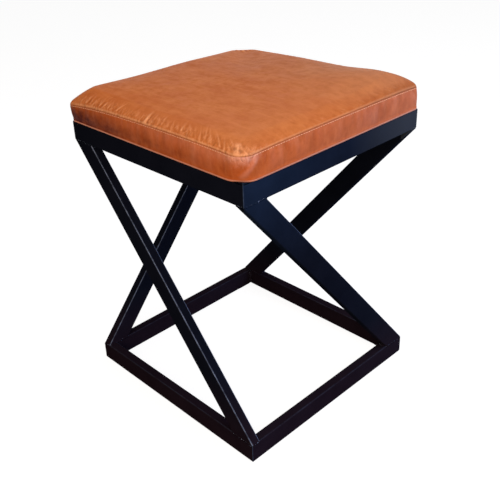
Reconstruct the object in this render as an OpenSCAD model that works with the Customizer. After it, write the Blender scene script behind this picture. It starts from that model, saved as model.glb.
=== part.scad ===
// Stool with a boxed leather seat on a welded frame of rectangular steel tube.
// Two square rings of tube on edge are joined by four diagonal legs, one in each side.
// Each leg starts under one corner of the top ring and ends on the next corner of the base ring.
// Origin: centre of the footprint on the floor. +Z is up, the sides lie along X and Y.

/* [Frame] */
// Outer side of both square rings
frame_w = 350; // [260:1:480]
// Height of the welded frame, without the floor pads
frame_h = 425; // [300:1:650]
// Depth of the tube section, which stands upright in the rings
tube_h = 30; // [22:1:44]
// Width of the tube section
tube_w = 15; // [12:0.5:24]
// Wall thickness of the tube
tube_wall = 1.5; // [1:0.1:2.5]
// Outer corner radius of the tube section
tube_r = 2; // [1.6:0.1:4]

/* [Welds] */
// Leg length of a fillet bead
bead_leg = 4; // [2:0.5:6]

/* [Corner plates] */
// Side of a corner plate
plate_w = 48; // [44:1:70]
// Cut across the free corner of a plate, measured along its side
plate_nose = 20; // [10:1:24]
// Thickness of a corner plate
plate_t = 3; // [2:0.5:5]
// Distance of a seat screw from the inner faces of the top ring
screw_inset = 28; // [24:1:34]
// Radius of the screw hole in a corner plate
plate_hole_r = 2.75; // [2.5:0.05:3.5]

/* [Seat screws] */
// Shank radius of a seat screw
screw_r = 2; // [1.5:0.1:2.4]
// Length of a seat screw under its head
screw_l = 15; // [12:0.5:16]
// Radius of the pan head
head_r = 4.2; // [3.6:0.1:5.5]
// Height of the pan head
head_h = 2.6; // [2:0.1:4]
// Height of the straight rim of the head
head_rim_h = 1.3; // [0.6:0.1:1.8]
// Radius of the flat on the head
head_flat_r = 3; // [2:0.1:3.4]
// Radius of the blunt tip of a screw
tip_r = 0.6; // [0.3:0.1:1.2]

/* [Floor pads] */
// Length of a floor pad along the base rail
pad_l = 28; // [16:1:50]
// Thickness of a floor pad
pad_t = 2; // [1:0.5:6]
// Margin between a floor pad and the faces of the rail
pad_margin = 3; // [2.5:0.5:5]
// Corner radius of a floor pad
pad_r = 1.5; // [0.5:0.5:2]

/* [Seat] */
// Oversail of the seat past the frame on each side
seat_over = 1; // [0:0.5:8]
// Cut across the front right and back left corners of the seat, measured along the side
corner_cut = 22; // [12:1:40]
// Cut across the front left and back right corners, which reach out to the frame's corners
side_cut = 6; // [6:0.5:30]
// Radius that softens the ends of the corner cuts
corner_r = 8; // [4:0.5:8.5]
// Height of the side band, from the frame to the seam
band_h = 35; // [26:1:60]
// Rise of the top panel from the seam to the shoulder's end
shoulder_h = 9; // [5:0.5:16]
// Run of the shoulder from the side of the seat inwards
shoulder_run = 18; // [12:1:30]
// Run of the shoulder from a corner of the seat inwards, where the leather is drawn down
corner_run = 28; // [24:2:30]
// Extra rise of the crown in the middle of the seat
crown_h = 3; // [1:0.5:8]
// Thickness of the leather
leather_t = 1.2; // [0.8:0.1:2]
// Thickness of the plywood seat board
board_t = 12; // [11:0.5:20]
// Clearance between the board, the foam and the leather
cover_gap = 0.3; // [0.1:0.1:0.8]
// Width of the leather turned in under the board
margin_w = 34; // [30:1:36]

/* [Underside] */
// Thickness of the dust cover
dust_t = 0.5; // [0.3:0.1:1]
// Overlap of the dust cover on the turned-in leather
dust_lap = 7; // [5:0.5:9]
// Length of a staple's crown
staple_l = 10; // [6:0.5:14]
// Width of a staple's crown
staple_w = 1.2; // [0.6:0.1:2]
// Thickness of a staple's crown
staple_t = 0.6; // [0.4:0.1:1]
// Number of staples along each side of the leather
leather_staples = 7; // [3:1:9]
// Number of staples along each side of the dust cover
dust_staples = 5; // [3:1:7]

/* [Hidden] */
$fn = 64;

over = 1;                                // how far a cut runs past the face it opens
pilot_gap = 0.05;                        // clearance round a screw in the board
bead_clear = 1;                          // from the end of a bead to the tube's round edge
weld_clear = 4;                          // from a ring weld to the plate's clipped corner
staple_clear = 3;                        // from a staple to a corner plate
bend_min = 0.3;                          // least radius inside the tube's corners
cut_min = 1;                             // least cut across a corner of the seat
crown_steps = 720;                       // fine enough for the flat arc of the crown

frame_half = frame_w / 2;
base_z = pad_t;                          // underside of the base ring
top_z = pad_t + frame_h;                 // top of the top ring, where the seat rests
inner_half = frame_half - tube_w;        // inner faces of the rings
leg_z0 = base_z + tube_h;                // top of the base ring
leg_z1 = top_z - tube_h;                 // underside of the top ring
leg_rise = leg_z1 - leg_z0;
// The leg's run solves run * sin(slope) = rise * cos(slope) with its cut end inside the side:
// run = frame_w - tube_h / sin(slope) and tan(slope) = rise / run.
leg_run = (frame_w - tube_h / leg_rise * sqrt(
    leg_rise * leg_rise + frame_w * frame_w - tube_h * tube_h))
    / (1 - tube_h * tube_h / (leg_rise * leg_rise));
leg_slope = atan2(leg_rise, leg_run);
leg_cut = frame_w - leg_run;             // length of a leg's cut end along the rail
leg_over = tube_h * 2;                   // extra length that the cuts take off

seat_half = frame_half + seat_over;
seam_z = top_z + band_h;
shoulder_z = seam_z + shoulder_h;
cut_half = (2 * seat_half - corner_cut) / sqrt(2);  // from the centre to the cut corners
side_cut_half = (2 * seat_half - side_cut) / sqrt(2);
corner_top_z = shoulder_z + crown_h / 2;  // above the crown where a corner starts to drop
board_z = top_z + leather_t;             // underside of the board
foam_z = board_z + board_t;
body_inset = leather_t + cover_gap;      // board and foam from the outside of the leather
dust_z = top_z - dust_t;                 // underside of the dust cover
plate_z = dust_z - plate_t;              // underside of the corner plates
dust_half = seat_half - margin_w + dust_lap;
leather_staple_at = (inner_half + dust_half) / 2;
dust_staple_at = dust_half - dust_lap / 2;
screw_at = inner_half - screw_inset;
staple_reach = inner_half - plate_w - staple_clear - staple_l / 2;  // to the last staple
bead_gap = tube_r + bead_clear;          // beads stop short of the tubes' round edges
plate_clip = bead_leg + weld_clear;      // the plate's clipped corner clears the ring weld
screw_tip_z = plate_z + screw_l;         // the screws end inside the board
all_round = 2 * frame_w;                 // longer than anything it cuts
arc_steps = 6;                           // chords in each soft corner of the seat's plan

// Turns what is drawn for the front side round to side k: 0 front, 1 right, 2 back, 3 left.
module side(k) {
    rotate([0, 0, 90 * k]) children();
}

// Rectangle with round corners and its lower left corner at the origin.
module round_rect(w, h, r) {
    translate([r, 0]) square([w - 2 * r, h]);
    translate([0, r]) square([w, h - 2 * r]);
    for (x = [r, w - r], y = [r, h - r]) translate([x, y]) circle(r = r);
}

// Section of the hollow tube, tube_w along X and tube_h along Y.
module tube_section() {
    difference() {
        round_rect(tube_w, tube_h, tube_r);
        translate([tube_wall, tube_wall])
            round_rect(tube_w - 2 * tube_wall, tube_h - 2 * tube_wall,
                max(tube_r - tube_wall, bend_min));
    }
}

// Front rail of a ring, its underside at height z, with both ends mitred at 45 degrees.
module rail(z) {
    intersection() {
        translate([frame_half, -frame_half, z])
            rotate([90, 0, -90])
            linear_extrude(height = frame_w) translate([-tube_w, 0]) tube_section();
        translate([0, 0, z - over])
            linear_extrude(height = tube_h + 2 * over)
            polygon([[-frame_half - over, -frame_half - over],
                [frame_half + over, -frame_half - over],
                [inner_half, -inner_half], [-inner_half, -inner_half]]);
    }
}

// Front leg: from under the left end of the top rail down to the right end of the base rail.
module leg() {
    intersection() {
        translate([-frame_half, -frame_half, leg_z1])
            rotate([0, leg_slope, 0])
            translate([-leg_over, 0, 0])
            rotate([90, 0, 90])
            linear_extrude(height = leg_rise / sin(leg_slope) + 2 * leg_over)
            tube_section();
        translate([-all_round, -all_round, leg_z0])
            cube([2 * all_round, 2 * all_round, leg_rise]);
    }
}

// Bead that fills a corner between two faces: a sector of a circle, swept by length.
module bead(angle, length) {
    linear_extrude(height = length) intersection() {
        circle(r = bead_leg);
        polygon([[0, 0], [2 * bead_leg, 0],
            [2 * bead_leg * cos(angle / 2), 2 * bead_leg * sin(angle / 2)],
            [2 * bead_leg * cos(angle), 2 * bead_leg * sin(angle)]]);
    }
}

// Upright beads in the four inner corners of a ring, between heights z0 and z1.
module ring_welds(z0, z1) {
    for (k = [0:3]) side(k)
        translate([-inner_half, -inner_half, z0]) bead(90, z1 - z0);
}

// Bead in the sharp corner between the upper leg end and the rail above it.
module leg_top_weld() {
    translate([-frame_half + leg_cut, -inner_half - bead_gap, leg_z1])
        rotate([90, 0, 0]) mirror([0, 1, 0]) bead(leg_slope, tube_w - 2 * bead_gap);
}

// Bead in the sharp corner between the lower leg end and the rail below it.
module leg_base_weld() {
    translate([frame_half - leg_cut, -inner_half - bead_gap, leg_z0])
        rotate([90, 0, 0]) mirror([1, 0, 0]) bead(leg_slope, tube_w - 2 * bead_gap);
}

// Square plate in the front left corner of the top ring, clipped at two corners and drilled.
module corner_plate() {
    translate([-inner_half, -inner_half, plate_z]) difference() {
        linear_extrude(height = plate_t)
            polygon([[plate_clip, 0], [plate_w, 0], [plate_w, plate_w - plate_nose],
                [plate_w - plate_nose, plate_w], [0, plate_w], [0, plate_clip]]);
        translate([screw_inset, screw_inset, -over])
            cylinder(h = plate_t + 2 * over, r = plate_hole_r);
    }
}

// Pan-head screw with its head's bearing face at the origin and its shank upwards.
module screw() {
    rotate_extrude() polygon([[0, screw_l], [tip_r, screw_l],
        [screw_r, screw_l - screw_r], [screw_r, 0], [head_r, 0],
        [head_r, -head_rim_h], [head_flat_r, -head_h], [0, -head_h]]);
}

// Vertices of the seat's plan, drawn in from the outside by d: a square with cut corners.
function cut_at(cut, d) = max(cut - d * (2 - sqrt(2)), cut_min);
function plan_points(d) = let (a = seat_half - d,
    b = a - cut_at(corner_cut, d), c = a - cut_at(side_cut, d))
    [[-c, -a], [b, -a], [a, -b], [a, c], [c, a], [-b, a], [-a, b], [-a, -c]];

// Seat plan inset by d, with its eight corners softened by arcs of radius r.
module plan(d, r) {
    p = plan_points(d + r);
    polygon([for (i = [0:7], t = [0:arc_steps])
        let (angle = 225 + 45 * (i + t / arc_steps)) p[i] + r * [cos(angle), sin(angle)]]);
}

// Side view of the seat, inset by d: a crown between two shoulders. Each shoulder is an arc that
// leaves the crown's arc without a kink.
module crown_section(d) {
    flat = seat_half - shoulder_run;     // where the shoulder meets the crown
    crown_r = (flat * flat + crown_h * crown_h) / (2 * crown_h);
    join = asin(flat / crown_r);         // slope of the crown where a shoulder starts
    shoulder_r = norm([shoulder_run, shoulder_h])
        / (2 * sin(atan2(shoulder_h, shoulder_run) - join));
    centre_z = shoulder_z - shoulder_r * cos(join);
    intersection() {
        union() {
            intersection() {
                translate([0, shoulder_z + crown_h - crown_r])
                    circle(r = crown_r - d, $fn = crown_steps);
                translate([-flat, centre_z - all_round]) square([2 * flat, 2 * all_round]);
            }
            for (s = [-1, 1]) translate([s * (flat - shoulder_r * sin(join)), centre_z])
                circle(r = shoulder_r - d);
            translate([-seat_half, centre_z - all_round]) square([2 * seat_half, all_round]);
        }
        translate([d - seat_half, centre_z - all_round])
            square([2 * (seat_half - d), 2 * all_round]);
    }
}

// What is taken off a corner of the crown, inset by d, at distance half from the centre to the
// cut of the corner: all above an arc that comes down to the seam.
module corner_cutter(half, d) {
    drop = corner_top_z - seam_z;
    corner_arc_r = (corner_run * corner_run + drop * drop) / (2 * drop);
    rotate([90, 0, 0]) translate([half - corner_run, corner_top_z - corner_arc_r, -seat_half])
        linear_extrude(height = 2 * seat_half) difference() {
            square([seat_half, all_round]);
            circle(r = corner_arc_r - d, $fn = crown_steps);
        }
}

// Crowned body of the seat above height z, inset by d. Its shoulders follow all four sides, and
// its corners are drawn down.
module seat_body(d, z) {
    difference() {
        intersection() {
            intersection_for (k = [0:1])
                rotate([0, 0, 90 * k]) rotate([90, 0, 0]) translate([0, 0, -all_round])
                    linear_extrude(height = 2 * all_round) crown_section(d);
            translate([0, 0, z]) linear_extrude(height = all_round) plan(d, corner_r - d);
        }
        for (k = [0:3]) rotate([0, 0, 90 * k - 45])
            corner_cutter([cut_half, side_cut_half][k % 2], d);
    }
}

// Crowns of the staples along all four sides, at distance at from the centre, under height z.
module staples(at, count, z) {
    for (k = [0:3]) side(k) for (i = [0:count - 1])
        translate([staple_reach * (2 * i / (count - 1) - 1) - staple_l / 2,
            -at - staple_w / 2, z - staple_t])
            cube([staple_l, staple_w, staple_t]);
}

module top_rail(k) { color("#15171c") side(k) rail(leg_z1); }
module base_rail(k) { color("#15171c") side(k) rail(base_z); }
module diagonal_leg(k) { color("#191c22") side(k) leg(); }
module top_ring_welds() {
    color("#2a2d33") ring_welds(leg_z1 + bead_gap, plate_z);
}
module base_ring_welds() {
    color("#2a2d33") ring_welds(base_z + bead_gap, leg_z0 - bead_gap);
}
module leg_top_welds() { color("#2a2d33") for (k = [0:3]) side(k) leg_top_weld(); }
module leg_base_welds() { color("#2a2d33") for (k = [0:3]) side(k) leg_base_weld(); }
module plate_at(k) { color("#202329") side(k) corner_plate(); }
module seat_screws() {
    color("silver") for (k = [0:3]) side(k)
        translate([-screw_at, -screw_at, plate_z]) screw();
}
module seat_board() {
    color("#c9a878") difference() {
        translate([0, 0, board_z]) linear_extrude(height = board_t)
            plan(body_inset, corner_r - body_inset);
        for (k = [0:3]) side(k) translate([-screw_at, -screw_at, board_z - over])
            cylinder(h = screw_tip_z + pilot_gap - board_z + over, r = screw_r + pilot_gap);
    }
}
module seat_foam() { color("#efe6c8") seat_body(body_inset, foam_z); }
module cover_top() {
    color("#b9683a") difference() {
        seat_body(0, seam_z);
        seat_body(leather_t, seam_z - over);
    }
}
module cover_band() {
    color("#a85b34") difference() {
        translate([0, 0, top_z]) linear_extrude(height = band_h) plan(0, corner_r);
        translate([0, 0, board_z]) linear_extrude(height = band_h)
            plan(leather_t, corner_r - leather_t);
        translate([0, 0, top_z - over]) linear_extrude(height = band_h)
            polygon(plan_points(margin_w));
    }
}
module cover_staples() { color("silver") staples(leather_staple_at, leather_staples, top_z); }
module dust_cover() {
    color("#1c1c1e") translate([0, 0, dust_z]) difference() {
        linear_extrude(height = dust_t) polygon(plan_points(seat_half - dust_half));
        for (k = [0:3]) side(k) translate([-screw_at, -screw_at, -over])
            cylinder(h = dust_t + 2 * over, r = plate_hole_r);
    }
}
module dust_cover_staples() { color("silver") staples(dust_staple_at, dust_staples, dust_z); }
module floor_pads() {
    color("#101012") for (k = [0:3]) side(k)
        translate([-inner_half, -frame_half + pad_margin, 0])
        linear_extrude(height = pad_t)
        round_rect(pad_l, tube_w - 2 * pad_margin, pad_r);
}

top_rail(0);  // top_rail_front
top_rail(1);  // top_rail_right
top_rail(2);  // top_rail_back
top_rail(3);  // top_rail_left
base_rail(0);  // base_rail_front
base_rail(1);  // base_rail_right
base_rail(2);  // base_rail_back
base_rail(3);  // base_rail_left
diagonal_leg(0);  // leg_front
diagonal_leg(1);  // leg_right
diagonal_leg(2);  // leg_back
diagonal_leg(3);  // leg_left
top_ring_welds();
base_ring_welds();
leg_top_welds();
leg_base_welds();
plate_at(0);  // corner_plate_front_left
plate_at(1);  // corner_plate_front_right
plate_at(2);  // corner_plate_back_right
plate_at(3);  // corner_plate_back_left
seat_screws();
seat_board();
seat_foam();
cover_top();
cover_band();
cover_staples();
dust_cover();
dust_cover_staples();
floor_pads();
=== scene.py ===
import math

import bmesh
import bpy
import numpy as np
from mathutils import Matrix, Vector


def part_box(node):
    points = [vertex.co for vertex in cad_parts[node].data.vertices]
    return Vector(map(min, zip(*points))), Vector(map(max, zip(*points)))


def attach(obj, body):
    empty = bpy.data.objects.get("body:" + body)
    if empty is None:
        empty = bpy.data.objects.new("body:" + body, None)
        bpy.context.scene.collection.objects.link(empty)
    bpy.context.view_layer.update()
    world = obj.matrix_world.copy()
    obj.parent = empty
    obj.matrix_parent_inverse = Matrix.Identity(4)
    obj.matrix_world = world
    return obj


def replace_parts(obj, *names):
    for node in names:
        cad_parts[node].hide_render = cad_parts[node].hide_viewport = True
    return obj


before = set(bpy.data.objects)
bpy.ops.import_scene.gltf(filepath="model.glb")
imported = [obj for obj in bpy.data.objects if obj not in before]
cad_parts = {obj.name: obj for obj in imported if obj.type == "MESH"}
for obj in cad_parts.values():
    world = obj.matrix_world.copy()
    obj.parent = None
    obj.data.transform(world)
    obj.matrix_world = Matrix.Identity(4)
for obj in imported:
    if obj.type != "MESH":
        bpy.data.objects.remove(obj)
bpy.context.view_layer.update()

# Lengths in this script are in millimetres and angles in degrees. The meshes are in metres.
MM = 0.001


# ---------------------------------------------------------------- sizes of the stool

RING_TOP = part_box("top_rail_front")[1].z / MM    # top of the top ring, where the seat rests
RING_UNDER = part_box("top_rail_front")[0].z / MM
BASE_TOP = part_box("base_rail_front")[1].z / MM   # top of the base ring
FRAME_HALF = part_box("top_rail_front")[1].x / MM
SEAT_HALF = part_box("cover_band")[1].x / MM
BOARD_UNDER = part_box("seat_board")[0].z / MM
BOARD_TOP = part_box("seat_board")[1].z / MM
PLATE_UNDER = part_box("corner_plate_front_left")[0].z / MM
DUST_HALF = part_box("dust_cover")[1].x / MM

TUBE_W = 15.0             # width of the frame's tube
TUBE_R = 2.0              # radius of its rounded edges
INNER_HALF = FRAME_HALF - TUBE_W
LEATHER_T = 1.2           # thickness of the leather
MARGIN_W = 34.0           # leather turned in under the board
SEAM_RISE = 35.0          # height of the seam over the ring, before the corners pull it down


# ---------------------------------------------------------------- plan of the seat

PLAN_COLUMNS = 1200       # points round the seat, about 1.1 mm apart
PLACES = ("front_left", "front_right", "back_right", "back_left")
# Cuts across the corners, in the order of PLACES: how much each takes off the front or back
# side, and off the left or right side.
SEAM_CUTS = ((6, 6), (14, 11), (6, 6), (22, 22))    # at the height of the seam
FOOT_CUTS = ((6, 6), (22, 14), (6, 6), (22, 22))    # at the foot of the band
END_RADII = (8.0, 17.0, 8.0, 22.0)     # radius that softens the ends of each cut
ARC_POINTS = 13                        # points on each of these arcs
ARC_MOST = 0.47                        # most of a cut that the arc at one end takes
CUT_MIN = 1.0                          # least cut that is left when the plan is drawn in


def seat_plan(cuts, columns=PLAN_COLUMNS, inset=0.0):
    """The seat's plan, drawn in by inset, as points, outward normals and lengths along the seam.

    An octagon with an arc in place of each vertex. The arc's centre lies its radius inside both
    sides that meet there: vertex - radius (n1 + n2) / (1 + n1 . n2). The points are evenly
    spaced and run anticlockwise from the middle of the front left cut.
    """
    side = SEAT_HALF - inset
    cut = np.maximum(np.array(cuts, float) - inset * (2 - math.sqrt(2)), CUT_MIN)
    (flx, fly), (frx, fry), (brx, bry), (blx, bly) = cut
    vertex = np.array([
        [flx - side, -side], [side - frx, -side], [side, fry - side], [side, side - bry],
        [side - brx, side], [blx - side, side], [-side, side - bly], [-side, fly - side]])
    ahead = np.roll(vertex, -1, axis=0) - vertex
    ahead /= np.linalg.norm(ahead, axis=1, keepdims=True)
    normal = np.stack([ahead[:, 1], -ahead[:, 0]], -1)
    before = np.roll(normal, 1, axis=0)
    cosine = (before * normal).sum(1)
    cut_here = [0, 1, 1, 2, 2, 3, 3, 0]
    cut_length = np.linalg.norm(cut, axis=1)[cut_here]
    tangent = np.sqrt((1 - cosine) / (1 + cosine))
    radius = np.minimum(np.array(END_RADII)[cut_here], ARC_MOST * cut_length / tangent)
    centre = vertex - (radius / (1 + cosine))[:, None] * (before + normal)
    share = np.linspace(0, 1, ARC_POINTS)[:, None]
    arc = before[:, None] * (1 - share) + normal[:, None] * share
    arc /= np.linalg.norm(arc, axis=2, keepdims=True)
    point = (centre[:, None] + radius[:, None, None] * arc).reshape(-1, 2)
    arc = arc.reshape(-1, 2)
    start = (point[-1] + point[0]) / 2
    point = np.vstack([start, point, start])
    arc = np.vstack([arc[-1] + arc[0], arc, arc[-1] + arc[0]])
    length = np.r_[0, np.cumsum(np.linalg.norm(np.diff(point, axis=0), axis=1))]
    along = np.arange(columns) * length[-1] / columns
    point = np.stack([np.interp(along, length, point[:, k]) for k in (0, 1)], -1)
    arc = np.stack([np.interp(along, length, arc[:, k]) for k in (0, 1)], -1)
    return point, arc / np.linalg.norm(arc, axis=1, keepdims=True), along


plan, plan_normal, plan_along = seat_plan(SEAM_CUTS)
foot_plan = seat_plan(FOOT_CUTS)[0]
SEAM_LENGTH = plan_along[-1] + plan_along[1]
QUARTER = SEAM_LENGTH / 4              # from one corner to the next


def signed_gap(along, place):
    """Length along the seam from a place, signed, at most half way round."""
    return (along - place + SEAM_LENGTH / 2) % SEAM_LENGTH - SEAM_LENGTH / 2


def from_corner(along, place):
    """Length along the seam from a corner of the seat, signed."""
    return signed_gap(along, PLACES.index(place) * QUARTER)


# ---------------------------------------------------------------- shape of the cushion

DIP_TIP = 6.0             # a dip's tip is rounded over this length
SEAM_DIP = {              # how far each corner pulls the seam down, and over what length
    "front_left": (9.6, 95), "front_right": (2.5, 40),
    "back_right": (3.0, 40), "back_left": (2.0, 40)}
SEAM_LEAN = {             # how far the seam stands out over the foot, and over what length
    "front_left": (2.6, 40), "back_right": (-1.4, 40)}
EXTRA_RUN = {             # extra run of the shoulder at each corner, and over what length
    "front_left": (-0.6, 26), "front_right": (4.0, 30),
    "back_right": (5.0, 34), "back_left": (6.8, 30)}
CREST_DROP = {            # how far the crest drops at each corner: a full corner rises
    "front_left": (-2.6, 90), "front_right": (1.5, 60),
    "back_right": (-7.8, 90), "back_left": (11.0, 80)}
CORNER_POWER = {          # 1 is a straight slope from the seam to the crest, 2 an ellipse
    "front_left": (1.12, 26), "front_right": (1.5, 30),
    "back_right": (1.28, 34), "back_left": (1.05, 30)}
SHOULDER_RUN = 26.0       # from the seam to the crest, along the sides
SHOULDER_POWER = 1.4
CREST_RISE = 45.3         # height of the crest over the ring
EDGE_RISE = 1.5           # the foam's rounded edge over the seam
EDGE_RUN = 3.0
CROWN_RISE = 0.5          # further rise in the middle, before the cover is blown up


def corner_sum(along, table, start=0.0):
    """start plus, for each corner, a bell whose height and width the table gives."""
    total = np.full(np.shape(along), float(start))
    for place, (height, reach) in table.items():
        total += height * np.exp(-(from_corner(along, place) / reach) ** 2)
    return total


def seam_height(along):
    """Height of the seam: level, less an exponential dip towards each corner."""
    height = np.full(np.shape(along), RING_TOP + SEAM_RISE)
    for place, (dip, reach) in SEAM_DIP.items():
        from_tip = np.hypot(from_corner(along, place), DIP_TIP) - DIP_TIP
        height -= dip * np.exp(-from_tip / reach)
    return height


def rounded(t, power):
    """Rises from 0 to 1 as t does, upright at the start and level at the end: a superellipse."""
    return (1 - (1 - np.clip(t, 0, 1)) ** power) ** (1 / power)


def top_height(along, inset):
    """Height of the leather top at inset from the seam.

    The sum of a small rounded edge, a shoulder up to the crest and a crown. The shoulder's
    run, power and crest change near the corners, and the crest evens out towards the middle.
    """
    seam = seam_height(along)
    power_change = {k: (p - SHOULDER_POWER, r) for k, (p, r) in CORNER_POWER.items()}
    crest_change = {k: (-d, r) for k, (d, r) in CREST_DROP.items()}
    run = corner_sum(along, EXTRA_RUN, SHOULDER_RUN)
    power = corner_sum(along, power_change, SHOULDER_POWER)
    crest = RING_TOP + corner_sum(along, crest_change, CREST_RISE)
    mean_crest = RING_TOP + CREST_RISE
    edge = EDGE_RISE * rounded(inset / EDGE_RUN, 2.0)
    out = 1 - inset / SEAT_HALF
    crest_here = mean_crest + (crest - mean_crest) * (1 - (1 - out ** 2) ** 3)
    shoulder = (crest_here - seam - EDGE_RISE) * rounded(inset / run, power)
    return seam + edge + shoulder + CROWN_RISE * (1 - out ** 2)


# ---------------------------------------------------------------- meshes from grids of points

def quads(index):
    """Quads between neighbours in a table of point numbers."""
    return np.stack(
        [index[:-1, :-1], index[:-1, 1:], index[1:, 1:], index[1:, :-1]], -1).reshape(-1, 4)


def grid_faces(rows, columns, close_rows=False):
    """Quads of a grid of points whose columns go round and close, and its rows if asked."""
    index = np.arange(rows * columns).reshape(rows, columns)
    if close_rows:
        index = np.vstack([index, index[:1]])
    return quads(np.hstack([index, index[:, :1]]))


def pole_faces(ring, pole, first):
    """Triangles from a ring of points to one pole, before the ring or after it."""
    after = np.roll(ring, -1)
    middle = np.full_like(ring, pole)
    return np.stack([middle, after, ring] if first else [ring, after, middle], -1)


def add_piece(name, points, faces, material, slot, smooth=True, **attributes):
    """Makes a mesh object from points in millimetres, and lets it ride with the frame."""
    mesh = bpy.data.meshes.new(name)
    mesh.from_pydata((points * MM).tolist(), [], faces)
    if smooth:
        mesh.polygons.foreach_set("use_smooth", np.ones(len(mesh.polygons), bool))
    for key, values in attributes.items():
        layer = mesh.attributes.new(key, "FLOAT", "POINT")
        layer.data.foreach_set("value", np.asarray(values, np.float32).ravel())
    mesh.materials.append(material)
    mesh.update()
    piece = bpy.data.objects.new(name, mesh)
    bpy.context.scene.collection.objects.link(piece)
    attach(piece, "root")
    return piece


def shell_with_poles(grid):
    """Points and faces of a closed shell: a grid of rings with a pole before and after it."""
    rows, columns = grid.shape[:2]
    first, last = rows * columns, rows * columns + 1
    points = np.vstack([grid.reshape(-1, 3), grid[0].mean(0), grid[-1].mean(0)])
    ring = np.arange(columns)
    faces = grid_faces(rows, columns).tolist()
    faces += pole_faces(ring, first, True).tolist()
    faces += pole_faces(ring + (rows - 1) * columns, last, False).tolist()
    return points, faces


def with_poles(values):
    """Values of a grid of rings, with the mean of its first and last ring for the poles."""
    return np.r_[values.ravel(), values[0].mean(), values[-1].mean()]


def drawn_in(outline, insets, half, height):
    """Rings of points at a height: the outline, half wide, scaled in until each inset is met."""
    share = 1 - insets / half
    return np.stack(
        np.broadcast_arrays(share * outline[:, 0], share * outline[:, 1], height), -1)


def grid_normals(grid):
    """Unit normals of a grid whose columns close, from its steps along columns and rows."""
    across = np.roll(grid, -1, axis=1) - np.roll(grid, 1, axis=1)
    down = np.gradient(grid, axis=0)
    normal = np.cross(across, down)
    return normal / np.maximum(np.linalg.norm(normal, axis=2, keepdims=True), 1e-9)


def many_tubes(paths, radii, sides, flatten=1.0):
    """Points and faces of closed round tubes along many paths, all of the same row count.

    Each row is a circle across the path's direction, squashed upwards by flatten, and a pole
    closes either end.
    """
    count, rows = paths.shape[:2]
    ahead = np.gradient(paths, axis=1)
    ahead /= np.linalg.norm(ahead, axis=2, keepdims=True)
    rising = np.abs(ahead[..., 2:]) > 0.9
    side = np.cross(ahead, np.where(rising, [1.0, 0.0, 0.0], [0.0, 0.0, 1.0]))
    side /= np.linalg.norm(side, axis=2, keepdims=True)
    lift = np.cross(side, ahead)
    turn = np.arange(sides) * 2 * np.pi / sides
    ring = (np.cos(turn)[:, None] * side[:, :, None]
            + flatten * np.sin(turn)[:, None] * lift[:, :, None])
    grid = paths[:, :, None] + np.reshape(radii, (1, -1, 1, 1)) * ring
    per_tube = rows * sides + 2
    points = np.concatenate(
        [grid.reshape(count, -1, 3), paths[:, :1], paths[:, -1:]], axis=1).reshape(-1, 3)
    walls = grid_faces(rows, sides)
    ring = np.arange(sides)
    ends = np.vstack([
        pole_faces(ring, rows * sides, True),
        pole_faces(ring + (rows - 1) * sides, rows * sides + 1, False)])
    step = np.arange(count)[:, None, None] * per_tube
    faces = (walls + step).reshape(-1, 4).tolist() + (ends + step).reshape(-1, 3).tolist()
    return points, faces


# ---------------------------------------------------------------- materials

def colour(hex_code):
    """Linear RGBA of an sRGB hex colour."""
    srgb = np.array([int(hex_code[k:k + 2], 16) for k in (1, 3, 5)]) / 255
    linear = np.where(srgb <= 0.04045, srgb / 12.92, ((srgb + 0.055) / 1.055) ** 2.4)
    return (*linear.tolist(), 1.0)


def add_node(tree, kind, inputs=None, **settings):
    """Adds a node, sets its properties, and sets its inputs or links them to other nodes.

    An input takes a plain value, an output socket, or a node, which gives its first output.
    The inputs 0, 6 and 7 of a Mix are its factor and its two colours.
    """
    node = tree.nodes.new("ShaderNode" + kind)
    for key, value in settings.items():
        setattr(node, key, value)
    for key, value in (inputs or {}).items():
        if isinstance(value, bpy.types.Node):
            value = next(socket for socket in value.outputs if socket.enabled)
        if isinstance(value, bpy.types.NodeSocket):
            tree.links.new(value, node.inputs[key])
        else:
            node.inputs[key].default_value = value
    return node


def new_material(name):
    """A node material with an empty tree, and that tree."""
    material = bpy.data.materials.new(name)
    material.use_nodes = True
    material.node_tree.nodes.clear()
    return material, material.node_tree


def per_mm(size):
    """Scale of a texture on Object coordinates whose features are size millimetres wide."""
    return 1 / (size * MM)


def wave_per_mm(size):
    """Scale of a wave texture whose bands repeat every size millimetres: it turns by 20 a unit."""
    return per_mm(size) / 20 * 2 * math.pi


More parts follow.
